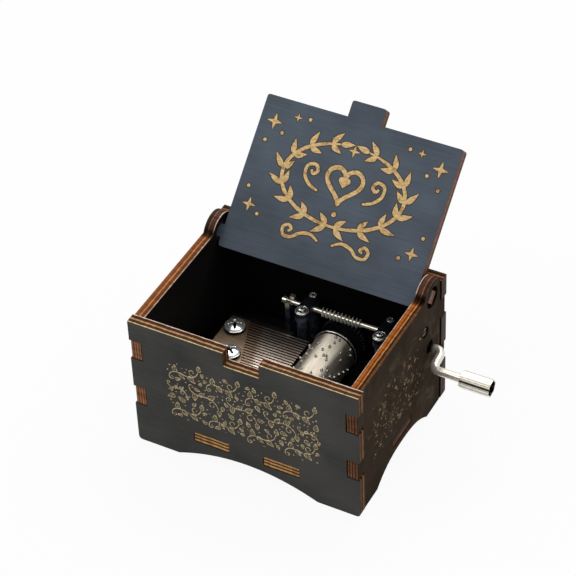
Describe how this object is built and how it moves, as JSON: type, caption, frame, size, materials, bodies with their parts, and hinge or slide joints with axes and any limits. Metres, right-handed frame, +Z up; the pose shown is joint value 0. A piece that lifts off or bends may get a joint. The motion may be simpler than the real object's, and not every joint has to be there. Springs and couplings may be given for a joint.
{
  "type": "hand-cranked music box",
  "caption": "Small plywood box with a hinged lid and a hand crank: a worm turns a pinned cylinder whose pins pluck the teeth of a steel comb.",
  "frame": {"origin": "on the surface that the box stands on, under the middle of the whole object with its lid open and its crank in place", "axes": "+X to the right along the front panel, out along the crank's shaft; +Y from the front panel to the back panel; +Z up"},
  "size_m": [0.0836, 0.0738, 0.0692],
  "materials": {
    "stained_plywood": "charcoal stain, laser-burnt edges",
    "lid_plywood": "blue-grey stain, laser-burnt edges",
    "casting": "dark die casting",
    "nickel": "bright nickel plate",
    "comb_steel": "ground steel",
    "black_steel": "blackened steel"
  },
  "bodies": {
    "case": {"front_panel": "stained_plywood", "back_panel": "stained_plywood", "left_panel": "stained_plywood", "right_panel": "stained_plywood", "bottom_panel": "stained_plywood", "wall_screw": "black_steel", "bed_plate": "casting", "comb": "comb_steel", "bed_screw_1": "nickel", "bed_screw_2": "nickel", "bed_screw_3": "nickel", "comb_screw_rear": "nickel", "comb_screw_front": "nickel", "arbor_bracket_front": "casting", "arbor_bracket_rear": "casting", "worm_bearing_left": "casting", "bearing_cap_left": "casting", "cap_washer_left": "nickel", "cap_screw_left_front": "nickel", "cap_screw_left_rear": "nickel", "worm_bearing_right": "casting", "bearing_cap_right": "casting", "cap_washer_right": "nickel", "cap_screw_right_front": "nickel", "cap_screw_right_rear": "nickel", "thrust_post": "casting", "thrust_saddle": "nickel"},
    "lid": {"lid": "lid_plywood"},
    "crank": {"worm_shaft": "nickel", "thrust_collar": "nickel", "crank_wire": "nickel"},
    "grip": {"crank_grip": "nickel"},
    "cylinder": {"cylinder_shell": "nickel", "cylinder_cap_front": "nickel", "cylinder_cap_rear": "nickel", "cylinder_arbor": "nickel", "drive_gear": "black_steel"}
  },
  "joints": [
    {"name": "lid_hinge", "type": "hinge", "parent": "case", "child": "lid", "pos_m": [-0.0098, 0.00549, 0.0393], "axis": [1, 0, 0], "range_deg": [0, 138]},
    {"name": "crank_turn", "type": "hinge", "parent": "case", "child": "crank", "pos_m": [0.0182, 0.00409, 0.0236], "axis": [1, 0, 0], "continuous": true},
    {"name": "cylinder_turn", "type": "hinge", "parent": "case", "child": "cylinder", "pos_m": [-0.0028, -0.01083, 0.0166], "axis": [0, 1, 0], "continuous": true},
    {"name": "grip_spin", "type": "hinge", "parent": "crank", "child": "grip", "pos_m": [0.0377, -0.00202, 0.02252], "axis": [1, 0, 0], "continuous": true}
  ],
  "couplings": [
    {"joint": "cylinder_turn", "follows": "crank_turn", "ratio": -0.029412}
  ]
}
